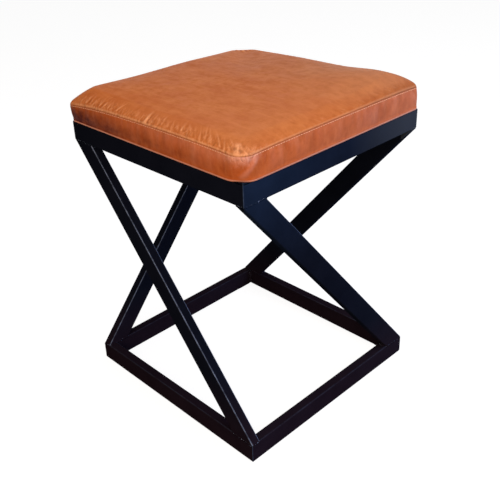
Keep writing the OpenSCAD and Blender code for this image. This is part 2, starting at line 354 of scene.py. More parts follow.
def pull_up_leather(name, deep, light, blotch, streak, pulled, narrowing):
    """Waxed pull-up leather, drum dyed: it pales where it is stretched. Painted highlights pale
    it too, and painted shade darkens it.

    Base colour: clouds between the deep and the light tone, with blotches, and streaks of
    38 mm over narrowing on each axis. The attributes come with the meshes: one pales the
    leather where it is stretched and as painted highlight and sheen, one darkens it as painted
    shade, one darkens it as painted shade on the band and as part of a painted sheen on the
    top, and gather adds fine wrinkles, with a painted highlight on their ridges and painted
    shade in their furrows.
    """
    material, tree = new_material(name)
    place = add_node(tree, "TexCoord").outputs["Object"]
    clouds = add_node(tree, "TexNoise", {
        "Vector": place, "Scale": per_mm(60), "Detail": 3.0, "Roughness": 0.6})
    blotches = add_node(tree, "TexNoise", {
        "Vector": place, "Scale": per_mm(13), "Detail": 5.0, "Roughness": 0.66})
    turned = add_node(tree, "Mapping", {
        "Vector": place, "Rotation": (0, 0, math.radians(-42)), "Scale": narrowing})
    streaks = add_node(tree, "TexNoise", {
        "Vector": turned, "Scale": per_mm(38), "Detail": 5.0, "Roughness": 0.66})
    # Pores are 0.3 mm apart on the hide and drawn at 1.3 mm, as fine as the picture can show.
    pores = add_node(tree, "TexVoronoi", {
        "Vector": place, "Scale": per_mm(1.3), "Randomness": 1.0}, feature="F1")
    grain = add_node(tree, "TexNoise", {
        "Vector": place, "Scale": per_mm(3.2), "Detail": 6.0, "Roughness": 0.65})
    # Gathers are about 4 mm wide and three times as long, and lean back from the front seam.
    across = add_node(tree, "Mapping", {
        "Vector": place, "Rotation": (0, 0, math.radians(27)), "Scale": (1.0, 3.0, 2.0)},
        vector_type="TEXTURE")
    gathers = add_node(tree, "TexNoise", {
        "Vector": across, "Scale": per_mm(4.6), "Detail": 2.0, "Roughness": 0.6,
        "Distortion": 0.9})
    pull, tuck, wax, gather = [
        add_node(tree, "Attribute", attribute_name=key).outputs["Fac"]
        for key in ("pull", "tuck", "wax", "gather")]
    # Each row: a texture, the low and high end of it that count, and what they give.
    clouded, blotched, streaked, waxing, paling, deepening, gloss = [
        add_node(tree, "MapRange", {
            "Value": texture, "From Min": low, "From Max": high, "To Min": least,
            "To Max": most})
        for texture, low, high, least, most in (
            (clouds, 0.33, 0.67, 0.0, 1.0), (blotches, 0.42, 0.75, 0.0, 0.7),
            (streaks, 0.46, 0.72, 0.0, 0.45), (blotches, 0.3, 0.7, 0.7, 1.3),
            (gathers, 0.5, 0.74, 0.0, 0.6), (gathers, 0.48, 0.3, 0.0, 0.45),
            (blotches, 0.3, 0.7, 0.36, 0.52))]
    # Fine wrinkles: a painted highlight on their ridges, painted shade in their furrows.
    ridges, furrows, puckers = [
        add_node(tree, "Math", {0: gather, 1: value}, operation="MULTIPLY")
        for value in (paling, deepening, gathers)]
    # Painted darkening, broken up by the blotches: shade on the band, part of a sheen on the top.
    waxed = add_node(tree, "Math", {0: wax, 1: waxing}, operation="MULTIPLY", use_clamp=True)
    # Paling for stretch and painted highlights; then the darkest of painted shade and furrows.
    stretched_and_lit = add_node(tree, "Math", {0: pull, 1: ridges}, operation="ADD", use_clamp=True)
    in_shade = add_node(tree, "Math", {0: tuck, 1: furrows}, operation="MAXIMUM")
    tone = colour(deep)
    # Tints: pale for stretch and painted highlights, #4d1406 painted darkening, #5e2308 painted
    # shade.
    for amount, tint in (
            (clouded, light), (blotched, blotch), (streaked, streak), (waxed, "#4d1406"),
            (stretched_and_lit, pulled), (in_shade, "#5e2308")):
        tone = add_node(tree, "Mix", {0: amount, 6: tone, 7: colour(tint)}, data_type="RGBA")
    relief = add_node(tree, "Math", {0: pores.outputs["Distance"], 1: grain}, operation="ADD")
    relief = add_node(tree, "Math", {0: puckers, 1: 8.0, 2: relief}, operation="MULTIPLY_ADD")
    bump = add_node(tree, "Bump", {
        "Height": relief, "Distance": 0.12 * MM, "Strength": 0.55})
    shader = add_node(tree, "BsdfPrincipled", {
        "Base Color": tone, "Roughness": gloss, "Normal": bump, "IOR": 1.48,
        "Specular IOR Level": 0.03})
    add_node(tree, "OutputMaterial", {"Surface": shader})
    return material


def satin_powder_coat(name, flat_axis, painted_edge_tone, painted_edge_share, ground=0.0, speck=0.0):
    """Black polyester powder coat, baked on steel: satin, with a faint orange peel.

    The tube's upper rounded edges take a given edge tone, as far as a given share says: a
    painted highlight where the tone is pale, a painted shadow where it is dark. A tube's flat
    faces either look along flat_axis or stand square to it, and what does neither is an edge.
    High up on the left and right sides, where x is greater than y, a painted blue sheen
    tints the coat, most of all at the front, and towards the back a painted grey sheen. Low
    down the tone turns browner. A rail's mitre, where x and y are the same size, shows as a
    ground line, as far as ground says. speck is the share of pale spatter.
    """
    material, tree = new_material(name)
    place = add_node(tree, "TexCoord").outputs["Object"]
    peel = add_node(tree, "TexNoise", {
        "Vector": place, "Scale": per_mm(2.4), "Detail": 2.0, "Roughness": 0.5})
    smear = add_node(tree, "TexNoise", {
        "Vector": place, "Scale": per_mm(45), "Detail": 4.0, "Roughness": 0.6})
    patch_noise = add_node(tree, "TexNoise", {
        "Vector": place, "Scale": per_mm(18), "Detail": 5.0, "Roughness": 0.7})
    spatter = add_node(tree, "TexNoise", {
        "Vector": place, "Scale": per_mm(1.8), "Detail": 1.0})
    normal = add_node(tree, "SeparateXYZ", {
        0: add_node(tree, "NewGeometry").outputs["Normal"]}).outputs
    spot = add_node(tree, "SeparateXYZ", {0: place}).outputs
    # facing (1 - facing) is 0 on every flat face and 0.21 half way round an edge.
    facing = add_node(tree, "Math", {0: normal[flat_axis]}, operation="ABSOLUTE")
    past = add_node(tree, "Math", {0: 1.0, 1: facing}, operation="SUBTRACT")
    rounding = add_node(tree, "Math", {0: facing, 1: past}, operation="MULTIPLY")
    beside = [add_node(tree, "Math", {0: spot[axis]}, operation="ABSOLUTE") for axis in "XY"]
    on_side = add_node(tree, "Math", {0: beside[0], 1: beside[1]}, operation="GREATER_THAN")
    apart = add_node(tree, "Math", {0: beside[0], 1: beside[1]}, operation="SUBTRACT")
    apart = add_node(tree, "Math", {0: apart}, operation="ABSOLUTE")
    # Each row: a value, the low and high end of it that count, and what they give.
    on_edge, upward, high_up, backing, fronting, low_down, on_mitre, patchy, dots, gloss = [
        add_node(tree, "MapRange", {
            "Value": value, "From Min": low, "From Max": high, "To Min": least,
            "To Max": most})
        for value, low, high, least, most in (
            (rounding, 0.1, 0.22, 0.0, 1.0), (normal["Z"], 0.05, 0.35, 0.0, 1.0),
            (spot["Z"], 270 * MM, 430 * MM, 0.05, 1.0), (spot["Y"], 20 * MM, 150 * MM, 0.0, 0.78),
            (spot["Y"], 0.0, -150 * MM, 0.42, 1.0), (spot["Z"], 110 * MM, 20 * MM, 0.0, 1.0),
            (apart, 1.0 * MM, 0.3 * MM, 0.0, ground), (patch_noise, 0.35, 0.65, 0.2, 1.0),
            (spatter, 0.64, 0.72, 0.0, speck), (smear, 0.3, 0.7, 0.3, 0.42))]
    # Painted sheen: navy high on the sides, strongest at the front, grey towards the back.
    sheen_side = add_node(tree, "Math", {0: on_side, 1: high_up}, operation="MULTIPLY")
    grey_sheen = add_node(tree, "Math", {0: backing, 1: sheen_side}, operation="MULTIPLY")
    blue_sheen = add_node(tree, "Math", {0: fronting, 1: sheen_side}, operation="MULTIPLY")
    # Painted edge: a highlight on upper rounded edges where the edge tone is pale, a shadow where
    # it is dark.
    edge = add_node(tree, "Math", {0: on_edge, 1: upward}, operation="MULTIPLY")
    edge = add_node(tree, "Math", {0: edge, 1: painted_edge_share}, operation="MULTIPLY")
    edge = add_node(tree, "Math", {0: edge, 1: patchy}, operation="MULTIPLY")
    mitre = add_node(tree, "Math", {0: on_mitre, 1: patchy}, operation="MULTIPLY")
    plain, brown, blue_sheen_tone = [
        add_node(tree, "Mix", {0: smear, 6: colour(deep), 7: colour(light)}, data_type="RGBA")
        for deep, light in (
            ("#0a0c14", "#151822"), ("#170f15", "#251b23"), ("#101a29", "#1e2b40"))]
    tone = plain
    for amount, over in (
            (low_down, brown), (blue_sheen, blue_sheen_tone), (grey_sheen, colour("#3e4246")),
            (edge, colour(painted_edge_tone)), (mitre, colour("#3e4a5c")), (dots, colour("#8d9cb5"))):
        tone = add_node(tree, "Mix", {0: amount, 6: tone, 7: over}, data_type="RGBA")
    bump = add_node(tree, "Bump", {"Height": peel, "Distance": 0.05 * MM, "Strength": 0.5})
    shader = add_node(tree, "BsdfPrincipled", {
        "Base Color": tone, "Roughness": gloss, "Normal": bump, "IOR": 1.5,
        "Specular IOR Level": 0.0})
    add_node(tree, "OutputMaterial", {"Surface": shader})
    return material


def zinc_plate():
    """Bright zinc plate on steel: grey metal with a fine spangle and dull patches."""
    material, tree = new_material("zinc_plate")
    place = add_node(tree, "TexCoord").outputs["Object"]
    spangle = add_node(tree, "TexVoronoi", {"Vector": place, "Scale": per_mm(0.9)})
    dulling = add_node(tree, "TexNoise", {
        "Vector": place, "Scale": per_mm(4), "Detail": 3.0})
    tone = add_node(tree, "Mix", {
        0: spangle.outputs["Color"], 6: colour("#b4b8bb"), 7: colour("#d6d8d6")},
        data_type="RGBA")
    gloss = add_node(tree, "MapRange", {
        "Value": dulling, "From Min": 0.3, "From Max": 0.7, "To Min": 0.24, "To Max": 0.42})
    shader = add_node(tree, "BsdfPrincipled", {
        "Base Color": tone, "Roughness": gloss, "Metallic": 1.0})
    add_node(tree, "OutputMaterial", {"Surface": shader})
    return material


def birch_plywood():
    """Rotary-cut birch plywood: long grain on the faces, plies of two tones on the edges."""
    material, tree = new_material("birch_plywood")
    place = add_node(tree, "TexCoord").outputs["Object"]
    along = add_node(tree, "Mapping", {"Vector": place, "Scale": (1.0, 14.0, 30.0)})
    figure = add_node(tree, "TexNoise", {
        "Vector": along, "Scale": per_mm(60), "Detail": 6.0, "Roughness": 0.6,
        "Distortion": 0.6})
    # Nine plies in 12 mm: each is 1.33 mm, and two make one light and dark band.
    plies = add_node(tree, "TexWave", {
        "Vector": place, "Scale": wave_per_mm(2.67), "Distortion": 0.3}, bands_direction="Z")
    face = add_node(tree, "Mix", {
        0: figure, 6: colour("#c79f6c"), 7: colour("#e3c596")}, data_type="RGBA")
    edge = add_node(tree, "Mix", {
        0: plies.outputs["Fac"], 6: colour("#8f6238"), 7: face}, data_type="RGBA")
    normal = add_node(tree, "NewGeometry").outputs["Normal"]
    upright = add_node(tree, "SeparateXYZ", {0: normal}).outputs["Z"]
    flat = add_node(tree, "Math", {0: upright}, operation="ABSOLUTE")
    tone = add_node(tree, "Mix", {0: flat, 6: edge, 7: face}, data_type="RGBA")
    bump = add_node(tree, "Bump", {"Height": figure, "Distance": 0.1 * MM, "Strength": 0.4})
    shader = add_node(tree, "BsdfPrincipled", {
        "Base Color": tone, "Roughness": 0.62, "Normal": bump})
    add_node(tree, "OutputMaterial", {"Surface": shader})
    return material


def upholstery_foam():
    """Cut polyurethane foam: matt cream with open cells."""
    material, tree = new_material("upholstery_foam")
    place = add_node(tree, "TexCoord").outputs["Object"]
    cells = add_node(tree, "TexVoronoi", {"Vector": place, "Scale": per_mm(1.6)})
    yellowing = add_node(tree, "TexNoise", {"Vector": place, "Scale": per_mm(60)})
    tone = add_node(tree, "Mix", {
        0: yellowing, 6: colour("#efe4bf"), 7: colour("#e2d09b")}, data_type="RGBA")
    bump = add_node(tree, "Bump", {
        "Height": cells.outputs["Distance"], "Distance": 0.5 * MM, "Strength": 0.8})
    shader = add_node(tree, "BsdfPrincipled", {
        "Base Color": tone, "Roughness": 0.95, "Normal": bump, "Specular IOR Level": 0.2})
    add_node(tree, "OutputMaterial", {"Surface": shader})
    return material


def spunbond_cloth():
    """Black spunbond polypropylene: short random fibres with a grid of bonded dots."""
    material, tree = new_material("spunbond_cloth")
    place = add_node(tree, "TexCoord").outputs["Object"]
    dots = add_node(tree, "TexVoronoi", {
        "Vector": place, "Scale": per_mm(2.2), "Randomness": 0.12})
    fibres = add_node(tree, "TexNoise", {
        "Vector": place, "Scale": per_mm(0.9), "Detail": 5.0, "Roughness": 0.8})
    tone = add_node(tree, "Mix", {
        0: fibres, 6: colour("#121214"), 7: colour("#2a2a2d")}, data_type="RGBA")
    bump = add_node(tree, "Bump", {
        "Height": dots.outputs["Distance"], "Distance": 0.15 * MM, "Strength": 0.7})
    shader = add_node(tree, "BsdfPrincipled", {
        "Base Color": tone, "Roughness": 0.9, "Normal": bump, "Sheen Weight": 0.15})
    add_node(tree, "OutputMaterial", {"Surface": shader})
    return material


def moulded_rubber():
    """Moulded black rubber: matt, finely pitted and dusty."""
    material, tree = new_material("moulded_rubber")
    place = add_node(tree, "TexCoord").outputs["Object"]
    pits = add_node(tree, "TexNoise", {
        "Vector": place, "Scale": per_mm(0.8), "Detail": 3.0})
    dust = add_node(tree, "TexNoise", {"Vector": place, "Scale": per_mm(9)})
    tone = add_node(tree, "Mix", {
        0: dust, 6: colour("#0d0d0d"), 7: colour("#1d1c1b")}, data_type="RGBA")
    bump = add_node(tree, "Bump", {"Height": pits, "Distance": 0.08 * MM, "Strength": 0.5})
    shader = add_node(tree, "BsdfPrincipled", {
        "Base Color": tone, "Roughness": 0.8, "Normal": bump})
    add_node(tree, "OutputMaterial", {"Surface": shader})
    return material


def bonded_thread():
    """Bonded nylon thread, twisted from three plies: pale tan with a slight shine."""
    material, tree = new_material("bonded_thread")
    place = add_node(tree, "TexCoord").outputs["Object"]
    twist = add_node(tree, "TexWave", {
        "Vector": place, "Scale": wave_per_mm(1.4), "Distortion": 0.5},
        bands_direction="DIAGONAL")
    tone = add_node(tree, "Mix", {
        0: twist.outputs["Fac"], 6: colour("#c4834f"), 7: colour("#e8b98a")},
        data_type="RGBA")
    shader = add_node(tree, "BsdfPrincipled", {
        "Base Color": tone, "Roughness": 0.5, "Sheen Weight": 0.1})
    add_node(tree, "OutputMaterial", {"Surface": shader})
    return material


# The pale tints serve stretch and painted highlights; the band's is pinker for its painted glare.
top_hide = pull_up_leather(
    "pull_up_leather_tan", "#b4602e", "#c06f38", "#a55423", "#cb7d45", "#e5a172",
    (1.0, 5.0, 3.0))
band_hide = pull_up_leather(
    "pull_up_leather_russet", "#b85a29", "#c56431", "#9f471d", "#cc7541", "#e8a68c",
    (6.0, 6.0, 1.6))
# The top ring's upper edges get a painted shadow under the seat, and the other upper edges painted
# highlights.
tube_paint = {
    (part, axis): satin_powder_coat(
        "satin_powder_coat_%s_%s" % (part, axis.lower()), axis, painted_edge_tone, painted_edge_share, ground)
    for part, painted_edge_tone, painted_edge_share, ground in (
        ("top", "#020306", 1.4, 0.9), ("base", "#3a4658", 0.3, 0.9), ("leg", "#6f7c93", 1.0, 0.0))
    for axis in "XY"}
weld_paint = satin_powder_coat("powder_coat_over_welds", "Z", "#0d1527", 0.0, speck=0.8)
zinc = zinc_plate()
foam = upholstery_foam()
spunbond = spunbond_cloth()
thread = bonded_thread()

PLAIN_NODES = {"seat_board": birch_plywood(), "floor_pads": moulded_rubber()}
for node_name, node_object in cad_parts.items():
    part = node_name.split("_")[0]
    axis = "X" if "left" in node_name or "right" in node_name else "Y"
    finish = PLAIN_NODES.get(node_name, tube_paint.get((part, axis), weld_paint))
    node_object.data.materials.clear()
    node_object.data.materials.append(finish)


# ---------------------------------------------------------------- cushion: blown-up blank

BLANK_CELLS = 88          # quads along each side of the top in the simulated blank
BLANK_BAND_ROWS = 9       # rows of quads down the band
SWELL_CAP = 4.0           # no point moves further than this, and long moves are eased down to it
BLOW_FRAMES = 20
SEAM_HOLD = 0.75          # how firmly the seam is held, where 1 is pinned
BLANK_CLOTH = {
    "mass": 0.4, "tension_stiffness": 60, "compression_stiffness": 60, "shear_stiffness": 40,
    "bending_stiffness": 20, "use_pressure": True, "uniform_pressure_force": 1.3}


def square_to_plan(u, v):
    """(share of the way out, length along the seam) of a point of the square u, v in -1 to 1.

    Rings of the square go to scaled copies of the seat's plan, corner to corner.
    """
    out = np.maximum(np.abs(u), np.abs(v))
    safe = np.maximum(out, 1e-9)
    a, b = u / safe, v / safe
    share = np.select(
        [b <= -1 + 1e-9, a >= 1 - 1e-9, b >= 1 - 1e-9],
        [(a + 1) / 8, 0.25 + (b + 1) / 8, 0.5 + (1 - a) / 8],
        0.75 + (1 - b) / 8)
    return out, share % 1.0 * SEAM_LENGTH


def plan_to_square(out, along):
    """The inverse of square_to_plan: u and v of a share of the way out and a seam length."""
    share = along / SEAM_LENGTH % 1.0
    side = np.minimum((share * 4).astype(int), 3)
    step = share * 8 - 2 * side - 1
    u = np.choose(side, [step, np.ones_like(step), -step, -np.ones_like(step)])
    v = np.choose(side, [-np.ones_like(step), step, np.ones_like(step), -step])
    return out * u, out * v


def on_plan(out, along):
    """The point at a share of the way from the seat's middle to its side."""
    x = np.interp(along, plan_along, plan[:, 0], period=SEAM_LENGTH)
    y = np.interp(along, plan_along, plan[:, 1], period=SEAM_LENGTH)
    return out * x, out * y


def cubic_weights(t):
    """The four weights of a uniform cubic B-spline at t between its middle points."""
    return np.stack([
        (1 - t) ** 3, 3 * t ** 3 - 6 * t ** 2 + 4, -3 * t ** 3 + 3 * t ** 2 + 3 * t + 1,
        t ** 3], 0) / 6


def sample(grid, row, column, wrap=False):
    """Smooth value of a grid at real rows and columns, by a cubic B-spline both ways."""
    rows, columns = grid.shape[:2]
    r0, c0 = np.floor(row).astype(int), np.floor(column).astype(int)
    wr, wc = cubic_weights(row - r0), cubic_weights(column - c0)
    total = 0.0
    for i in range(4):
        r = np.clip(r0 + i - 1, 0, rows - 1)
        for j in range(4):
            c = c0 + j - 1
            c = c % columns if wrap else np.clip(c, 0, columns - 1)
            total = total + (wr[i] * wc[j])[..., None] * grid[r, c]
    return total


def blown_blank():
    """Blows up a coarse blank of the cover with Cloth, and returns how its points moved.

    The blank is the top as a square grid and the band as rows under its rim. The band's foot
    is pinned to the board and the seam is held softly. The result is two grids of moves, for
    the top and for the band. A move of length d is eased to SWELL_CAP tanh(d / SWELL_CAP).
    """
    n = BLANK_CELLS
    line = np.linspace(-1, 1, n + 1)
    u, v = np.meshgrid(line, line)
    out, along = square_to_plan(u, v)
    x, y = on_plan(out, along)
    top = np.stack([x, y, top_height(along, (1 - out) * SEAT_HALF)], -1)
    index = np.arange((n + 1) ** 2).reshape(n + 1, n + 1)
    rim = np.r_[index[0, :-1], index[:-1, -1], index[-1, :0:-1], index[:0:-1, 0]]
    rim_top = top.reshape(-1, 3)[rim]
    rows = np.arange(1, BLANK_BAND_ROWS + 1)[:, None] / BLANK_BAND_ROWS
    height = rim_top[:, 2] + (RING_TOP - rim_top[:, 2]) * rows
    band = np.stack(np.broadcast_arrays(rim_top[:, 0], rim_top[:, 1], height), -1)
    under = (n + 1) ** 2 + np.arange(height.size).reshape(height.shape)
    band_index = np.vstack([rim, under])
    band_quads = quads(np.hstack([band_index, band_index[:, :1]]))[:, ::-1]
    points = np.vstack([top.reshape(-1, 3), band.reshape(-1, 3)])
    mesh = bpy.data.meshes.new("blank")
    mesh.from_pydata((points * MM).tolist(), [], np.vstack([quads(index), band_quads]).tolist())
    blank = bpy.data.objects.new("blank", mesh)
    bpy.context.scene.collection.objects.link(blank)
    held = blank.vertex_groups.new(name="held")
    held.add(band_index[-1].tolist(), 1.0, "REPLACE")
    held.add(rim.tolist(), SEAM_HOLD, "REPLACE")
    cloth = blank.modifiers.new("cloth", "CLOTH")
    for key, value in BLANK_CLOTH.items():
        setattr(cloth.settings, key, value)
    cloth.settings.vertex_group_mass = held.name
    cloth.settings.effector_weights.gravity = 0
    cloth.point_cache.frame_start = 1
    cloth.point_cache.frame_end = BLOW_FRAMES
    for step in range(1, BLOW_FRAMES + 1):
        bpy.context.scene.frame_set(step)
    shaped = blank.evaluated_get(bpy.context.evaluated_depsgraph_get())
    moved = np.empty(len(points) * 3, np.float32)
    shaped.data.vertices.foreach_get("co", moved)
    bpy.context.scene.frame_set(1)
    bpy.data.objects.remove(blank)
    bpy.data.meshes.remove(mesh)
    move = moved.reshape(-1, 3) / MM - points
    size = np.linalg.norm(move, axis=1, keepdims=True)
    move *= SWELL_CAP * np.tanh(size / SWELL_CAP) / np.maximum(size, 1e-9)
    return move[:(n + 1) ** 2].reshape(n + 1, n + 1, 3), move[band_index]


top_swell, band_swell = blown_blank()


def swell_of_top(along, inset):
    """How the simulation moved the top at inset from the seam."""
    if top_swell is None:
        return 0.0
    u, v = plan_to_square(1 - inset / SEAT_HALF, along)
    return sample(top_swell, (v + 1) * BLANK_CELLS / 2, (u + 1) * BLANK_CELLS / 2)


def swell_of_band(along, share):
    """How the simulation moved the band at a share of the way down from the seam."""
    if band_swell is None:
        return 0.0
    return sample(
        band_swell, share * BLANK_BAND_ROWS, along / SEAM_LENGTH * 4 * BLANK_CELLS, wrap=True)


# ---------------------------------------------------------------- cushion: creases

dice = np.random.default_rng(11)


def crease_table(first, last, count, reach, depth, width, most_start=0.0):
    """count creases between two places on the seam: place, lean, start, reach, depth, width.

    Start, reach, depth and width are drawn evenly, the last three between the two ends that
    they are given. Most creases lean back, and some lean ahead.
    """
    place = first + (last - first) * (np.arange(count) + dice.uniform(-0.45, 0.45, count)
                                      + 0.5) / count
    lean, start = dice.normal(-0.5, 0.25, count), dice.uniform(0, most_start, count)
    run = dice.uniform(*reach, count)
    return np.stack([
        place, lean * run, start, run, dice.uniform(*depth, count),
        dice.uniform(*width, count)], -1)


def crease_height(along, inset, table):
    """Height of all creases at a place: ridges with a tuck on one side, square to the seam.

    Each crease swells quickly from its start, fades to its reach and leans to one side on the
    way.
    """
    total = np.zeros(np.broadcast_shapes(along.shape, inset.shape))
    for place, lean, start, reach, depth, width in table:
        t = np.clip((inset - start) / reach, 0, 1)
        x = signed_gap(along, place + lean * t ** 1.2) / width
        shape = np.exp(-x ** 2) - 0.7 * np.exp(-(x - 1.7) ** 2)
        total += depth * (1 - t) ** 1.3 * np.minimum(1, t * reach / 1.5) * shape
    return total


def fold_height(along, off, table):
    """Height of folds at a place: a ridge with a furrow beside it, along straight lines.

    Each row of the table gives both ends of the line as lengths along and off the seam, then
    height and width. A fold tapers off at both ends.
    """
    total = np.zeros(np.broadcast_shapes(along.shape, off.shape))
    for along_0, off_0, along_1, off_1, height, width in table:
        run_a, run_b = along_1 - along_0, off_1 - off_0
        length = math.hypot(run_a, run_b)
        gap = signed_gap(along, along_0)
        t = (gap * run_a + (off - off_0) * run_b) / length ** 2
        beside = (gap * run_b - (off - off_0) * run_a) / length / width
        taper = np.clip(1 - (2 * t - 1) ** 4, 0, 1)
        total += height * taper * (np.exp(-beside ** 2) - 0.6 * np.exp(-(beside - 1.7) ** 2))
    return total


def dimple_table(count, spread, deep, size, first=0.5):
    """count dimples round the front right corner: place, distance off the seam, height, radius."""
    return np.stack([
        QUARTER + dice.normal(0, spread, count), dice.uniform(first, deep, count),
        dice.uniform(-0.6, 0.4, count), dice.uniform(*size, count)], -1)


def dimple_height(along, off, table):
    """Height of dimples and small bumps at a place: a sum of round bells."""
    total = np.zeros(np.broadcast_shapes(along.shape, off.shape))
    for place, at, height, radius in table:
        total += height * np.exp(-(signed_gap(along, place) ** 2 + (off - at) ** 2) / radius ** 2)
    return total


def round_front_right(along, reach):
    """1 at the front right corner, falling off along the seam as a bell."""
    return np.exp(-(from_corner(along, "front_right") / reach) ** 2)


top_creases = np.vstack([
    crease_table(12, 70, 13, (8, 20), (0.12, 0.36), (1.3, 2.4), 4),
    crease_table(36, 110, 9, (14, 26), (0.25, 0.55), (1.5, 2.6), 3),
    crease_table(60, QUARTER / 2, 19, (6, 15), (0.12, 0.36), (1.3, 2.2), 5),
    [[QUARTER / 2 + 1, -7.0, 0.0, 24.0, 1.2, 2.3], [QUARTER / 2 + 7, -4.0, 2.0, 15.0, 0.4, 1.6]],
    crease_table(QUARTER / 2 + 8, QUARTER - 12, 12, (14, 28), (0.25, 0.6), (1.5, 2.7), 5),
    crease_table(QUARTER / 2 + 6, QUARTER - 8, 34, (5, 15), (0.12, 0.4), (1.1, 2.0), 12),
    crease_table(QUARTER - 14, QUARTER + 12, 8, (5, 13), (0.15, 0.4), (0.9, 1.7), 6),
    crease_table(QUARTER + 16, 2 * QUARTER - 20, 22, (5, 12), (0.04, 0.16), (1.4, 3.0), 5),
    crease_table(2 * QUARTER + 16, 3 * QUARTER - 12, 40, (6, 22), (0.12, 0.4), (1.0, 2.2), 4),
    crease_table(3 * QUARTER - 12, 3 * QUARTER + 12, 9, (8, 18), (0.3, 0.6), (1.2, 2.2), 2),
    crease_table(3 * QUARTER + 14, 4 * QUARTER - 14, 40, (6, 20), (0.12, 0.36), (1.0, 2.2), 4)])
top_dimples = np.vstack([
    dimple_table(14, 9, 13, (1.4, 2.6)) * [1, 1, 0.6, 1],
    [[QUARTER - 7.5, 6.5, -0.7, 2.6], [QUARTER - 1.0, 4.5, -0.6, 2.4],
     [QUARTER - 3.5, 10.0, 0.5, 3.2]]])
band_dimples = dimple_table(10, 8, 11, (1.8, 3.0), 2.5) * [1, 1, 0.7, 1]
band_folds = np.array([
    [QUARTER - 4, 29, QUARTER + 20, 5, 1.1, 3.8],
    [QUARTER + 10, 3, QUARTER + 1, 15, 0.35, 1.8],
    [QUARTER - 9, 3, QUARTER - 4, 20, 0.3, 2.0],
    [QUARTER - 24, 4, QUARTER - 19, 24, 0.22, 2.2],
    [QUARTER + 34, 3, QUARTER + 30, 17, 0.22, 2.0],
    [2 * QUARTER - 14, 3, 2 * QUARTER - 4, 26, 0.4, 2.4],
    [3 * QUARTER + 16, 4, 3 * QUARTER - 2, 27, 0.5, 2.6],
    [3 * QUARTER - 15, 4, 3 * QUARTER - 5, 22, 0.4, 2.2]])


# ---------------------------------------------------------------- cushion: leather top

ALLOWANCE = 6.0           # leather turned down inside the band
GROOVE = 0.35             # how far the seam draws the leather in
ROLL = 0.2                # height of the rounded lip above and below the seam
ROLL_RUN = 5.0            # over which the lip falls off towards the middle

# Rings of the top, as insets from the seam: close together at first, then wider apart.
around = plan_along[None, :]
edge_insets = np.r_[0.0, np.cumsum(np.geomspace(0.45, 3.2, 44))]
top_insets = np.r_[edge_insets, np.linspace(edge_insets[-1], SEAT_HALF - 2, 18)[1:]][:, None]

rim = plan + corner_sum(plan_along, SEAM_LEAN)[:, None] * plan_normal
lip_height = ROLL * np.exp(-top_insets / ROLL_RUN)
top_grid = drawn_in(
    rim, top_insets, SEAT_HALF, top_height(around, top_insets) + lip_height)
top_grid += swell_of_top(around, top_insets)
smooth_top = top_grid.copy()
creases = crease_height(around, top_insets, top_creases)
creases += dimple_height(around, top_insets, top_dimples)
top_grid += creases[..., None] * grid_normals(top_grid)

# Rows from the turned-down edge inside the band, out over the rounded lip to the side.
lip_turn = np.radians(np.array([90, 65, 45, 25, 8]))
lip_inset = np.r_[GROOVE + 0.9, GROOVE + 0.7, GROOVE + 0.3, GROOVE * np.sin(lip_turn)]
lip_drop = np.r_[-ALLOWANCE - ROLL, -3.0 - ROLL, -0.5 - ROLL, -ROLL * (1 - np.cos(lip_turn))]
lip_rows = np.empty((len(lip_inset), PLAN_COLUMNS, 3))
lip_rows[...] = top_grid[0]
seam_fade = 1 - 0.75 * round_front_right(plan_along, 9)[:, None]
lip_rows[..., :2] -= lip_inset[:, None, None] * plan_normal * np.where(
    lip_inset[:, None, None] > GROOVE, 1, seam_fade)
lip_rows[..., 2] += lip_drop[:, None]
# The under side: the same surface, a leather's thickness below, on fewer rows.
under_pick = np.array([60, 57, 53, 48, 42, 36, 30, 24, 18, 12, 8, 4])
under_rows = (smooth_top - LEATHER_T * grid_normals(smooth_top))[under_pick]
under_edge = lip_rows[:1].copy()
under_edge[..., :2] -= 0.9 * plan_normal
top_shell = np.concatenate([under_rows, under_edge, lip_rows, top_grid])
in_seam = len(under_rows) + 1 + len(lip_rows)

# How full the cover is round the seam, at 0 for the front left corner, 1 for the front right
# and so on. A full cover is stretched over the seam and gathers beside it.
along_seam = around / QUARTER
FULL_AT = np.array([0, 0.08, 0.45, 0.7, 0.97, 1.08, 1.3, 2.0, 2.1, 2.9, 3.1, 3.9, 4.0])
FULL_TOP = np.array([0.2, 0.7, 0.8, 0.8, 0.75, 0.3, 0.1, 0.1, 0.3, 0.3, 0.15, 0.15, 0.2])
fullness = np.interp(along_seam, FULL_AT, FULL_TOP)
top_x, top_y = top_grid[..., 0], top_grid[..., 1]
back_right = np.clip(top_y / 120, 0, 1) * np.clip(top_x / 200 + 0.6, 0, 1)

# Each of these views is the outer face's part of an attribute.
pull, tuck, top_wax, gather = np.zeros((4, *top_shell.shape[:2]))
paled, tucked, waxed, gathered = [values[in_seam:] for values in (pull, tuck, top_wax, gather)]
# The crease ridges are paled, partly as stretched leather, partly as a painted highlight.
paled += np.clip(creases * 1.2, 0, 0.8)
# A painted highlight along the rounded edge above the seam, stronger where the cover is full.
paled += (0.2 + 0.5 * fullness) * np.exp(-((top_insets - 0.6) / 0.8) ** 2)
# A painted glare round the front right corner, and a painted pale patch beside it.
paled += 0.4 * round_front_right(around, 15) * np.exp(-(top_insets / 9) ** 2)
paled += 0.35 * dimple_height(around, top_insets, [[QUARTER - 5, 9, 1, 5]])
# The top is a little paler at the front. A painted sheen pales it towards the right, and a
# greyer painted sheen, paled and darkened at once, lies on the back right.
paled += 0.06 * np.exp(-((top_y + 165) / 60) ** 2) * np.exp(-((top_x - 20) / 90) ** 2)
paled += 0.13 * np.clip(top_x / 150, 0, 1) * np.clip(top_insets / 30, 0, 1)
paled += 0.2 * back_right * np.clip(top_insets / 12, 0.3, 1)
waxed += 0.33 * back_right
